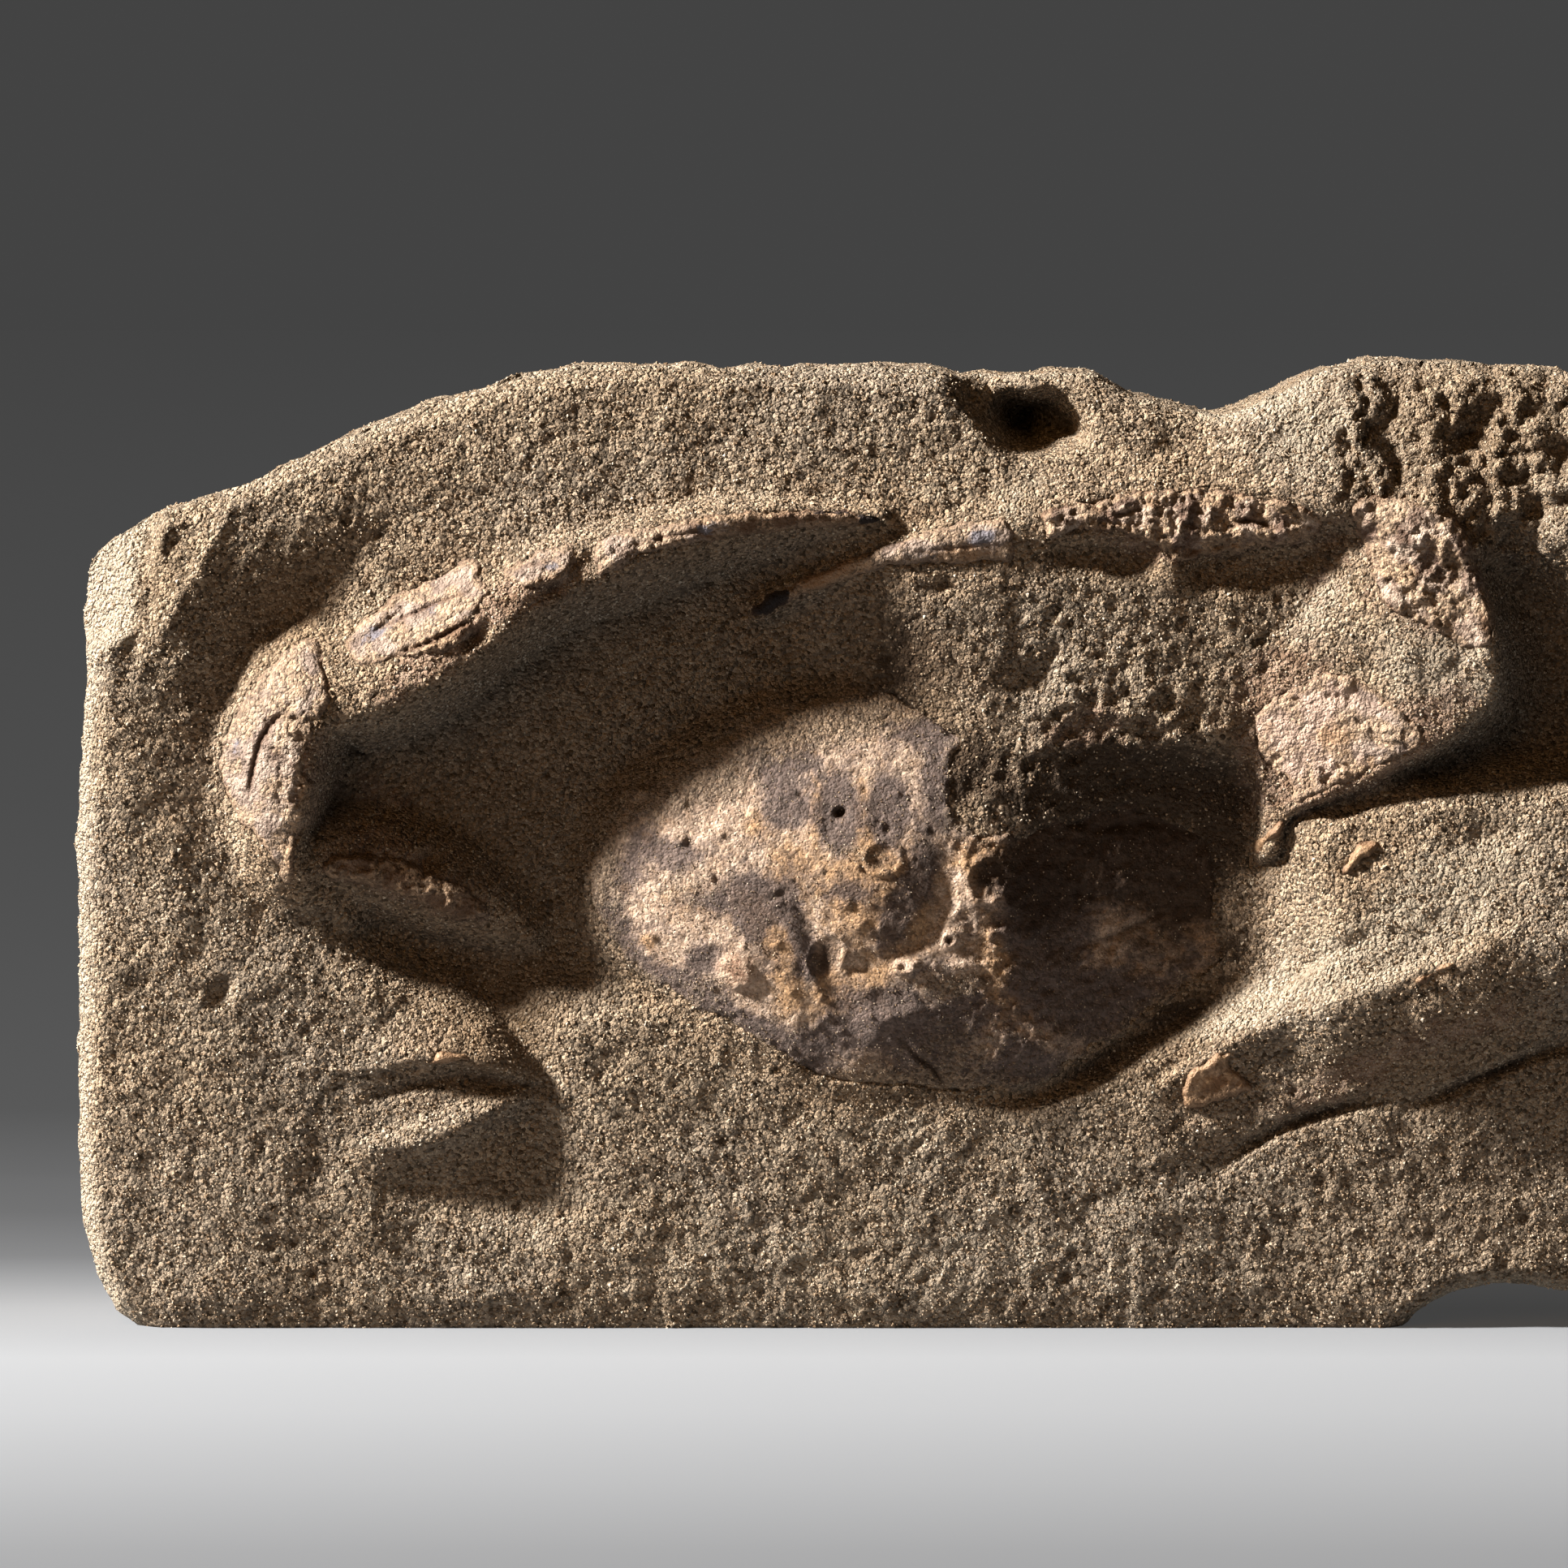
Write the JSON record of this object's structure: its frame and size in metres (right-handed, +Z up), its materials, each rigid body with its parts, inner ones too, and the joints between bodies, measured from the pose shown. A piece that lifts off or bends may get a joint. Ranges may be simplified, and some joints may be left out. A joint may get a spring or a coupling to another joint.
{
  "type": "crab fossil in a sandstone block",
  "caption": "Fossil swimming crab in a trimmed sandstone block: domed body shell between two claws, leg ridges below, flat sawn base to stand on.",
  "frame": {"origin": "centre of the bounding box in plan, on the plane of the sawn base", "axes": "+X to the viewer's right along the block, +Y into the block from its carved face, +Z up from the base"},
  "size_m": [0.2112, 0.0598, 0.1247],
  "materials": {
    "sandstone": "rough, granular, dusty",
    "carapace_shell": "matt shell with a dusty bloom",
    "claw_shell": "matt, chalky shell",
    "broken_shell": "broken, crumbly shell",
    "leg_shell": "smooth amber shell"
  },
  "bodies": {
    "root": {"matrix_block": "sandstone", "carapace": "carapace_shell", "left_claw_wrist": "claw_shell", "left_claw_palm": "claw_shell", "left_claw_palm_end": "claw_shell", "left_claw_finger": "claw_shell", "left_claw_arm": "claw_shell", "right_claw_finger": "claw_shell", "right_claw_palm": "broken_shell", "right_claw_wrist": "broken_shell", "right_claw_arm": "claw_shell", "right_claw_base_flake": "leg_shell", "right_front_leg_shell": "leg_shell", "right_rear_leg_shell": "leg_shell", "right_rear_leg_sliver": "leg_shell", "left_leg_shell": "leg_shell"}
  },
  "joints": []
}
